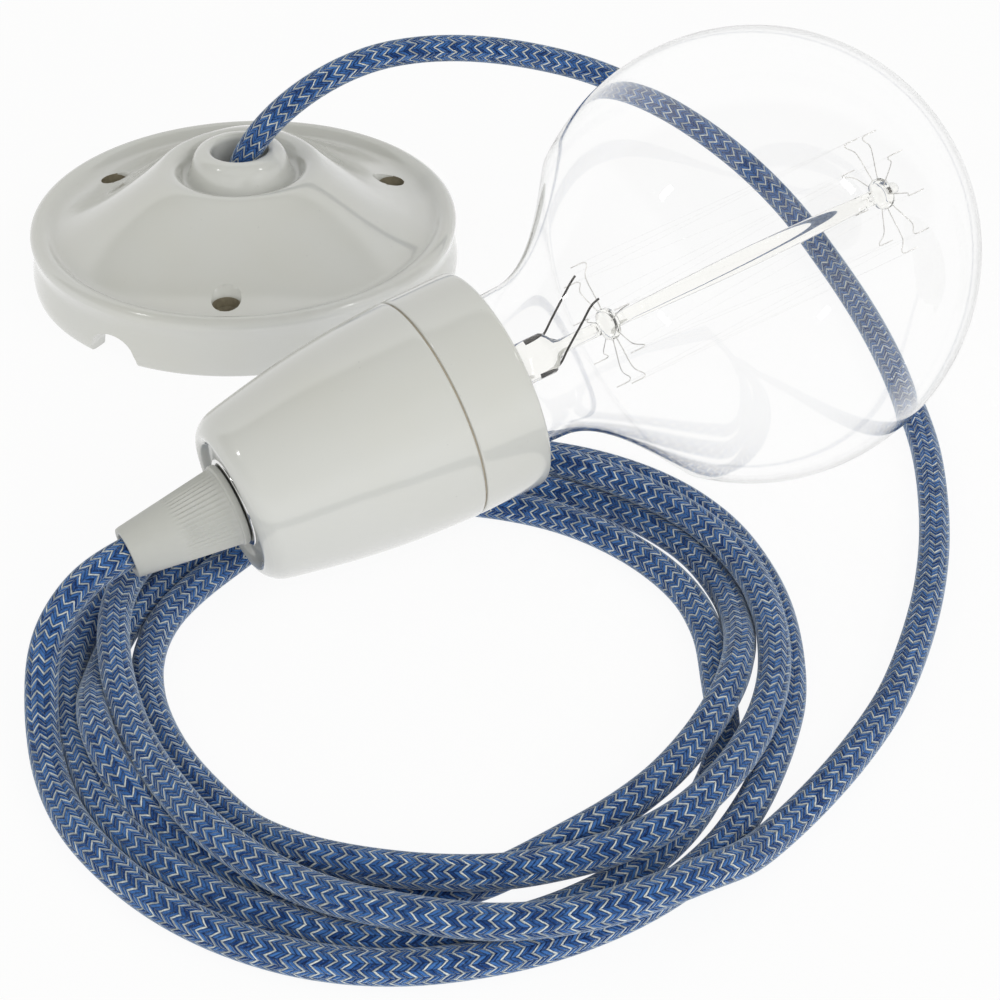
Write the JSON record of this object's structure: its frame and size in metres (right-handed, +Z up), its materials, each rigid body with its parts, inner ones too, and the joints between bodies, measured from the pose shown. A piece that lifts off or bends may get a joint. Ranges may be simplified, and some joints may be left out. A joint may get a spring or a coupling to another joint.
{
  "type": "pendant cord set",
  "caption": "Pendant light set: glazed porcelain ceiling rose and E27 lampholder joined by a blue zigzag-braided textile cord, with a clear globe bulb screwed in.",
  "frame": {"origin": "on the surface that the set lies on, under the middle of the bounding box of its rigid pieces", "axes": "+Z up, +X the longest way across the rigid pieces, from the ceiling rose towards the globe, +Y away from the coil towards the rose"},
  "size_m": [0.214, 0.2907, 0.095],
  "materials": {
    "porcelain": "clear glaze, glossy",
    "bare_porcelain": "unglazed, matt",
    "white_nylon": "moulded, matt",
    "blue_braid": "braided cotton with linen-coloured zigzag lines",
    "brown_core": "smooth insulation",
    "blue_core": "smooth insulation",
    "brass": "pressed, bright",
    "plated_steel": "nickel plated",
    "cap_metal": "plated, rolled",
    "black_glass": "fused, opaque",
    "clear_glass": "clear, polished",
    "cage_wire": "drawn wire",
    "lead_metal": "darkened wire",
    "tungsten": "fine drawn wire"
  },
  "bodies": {
    "root": {"ceiling_rose": "porcelain", "holder_dome": "porcelain", "holder_skirt": "porcelain", "holder_insert": "bare_porcelain", "cord_grip": "white_nylon", "rose_cord_clamp": "white_nylon", "terminal_block": "white_nylon", "cord_run": "blue_braid", "cord_coil": "blue_braid", "cord_end": "blue_braid", "rose_core_brown": "brown_core", "holder_core_brown": "brown_core", "rose_core_blue": "blue_core", "holder_core_blue": "blue_core", "screw_shell": "brass", "centre_contact": "brass", "contact_rivet": "brass", "live_terminal": "brass", "neutral_terminal": "brass", "block_screw_1_1": "brass", "block_screw_1_2": "brass", "block_screw_2_1": "brass", "block_screw_2_2": "brass", "threaded_tube": "plated_steel", "tube_nut": "plated_steel", "grip_washer": "plated_steel", "rose_clamp_screw": "plated_steel", "shell_screw_1": "plated_steel", "shell_screw_2": "plated_steel", "terminal_screw_1": "plated_steel", "terminal_screw_2": "plated_steel", "bulb_cap": "cap_metal", "tip_contact": "cap_metal", "cap_insulator": "black_glass", "bulb_glass": "clear_glass", "bulb_stem": "clear_glass", "far_hook_1": "cage_wire", "far_hook_2": "cage_wire", "far_hook_3": "cage_wire", "far_hook_4": "cage_wire", "far_hook_5": "cage_wire", "far_hook_6": "cage_wire", "far_hook_7": "cage_wire", "far_hook_8": "cage_wire", "far_hook_9": "cage_wire", "near_hook_1": "cage_wire", "near_hook_2": "cage_wire", "near_hook_3": "cage_wire", "near_hook_4": "cage_wire", "near_hook_5": "cage_wire", "near_hook_6": "cage_wire", "near_hook_7": "cage_wire", "near_hook_8": "cage_wire", "lead_wire_1": "lead_metal", "lead_wire_2": "lead_metal", "filament": "tungsten"}
  },
  "joints": []
}
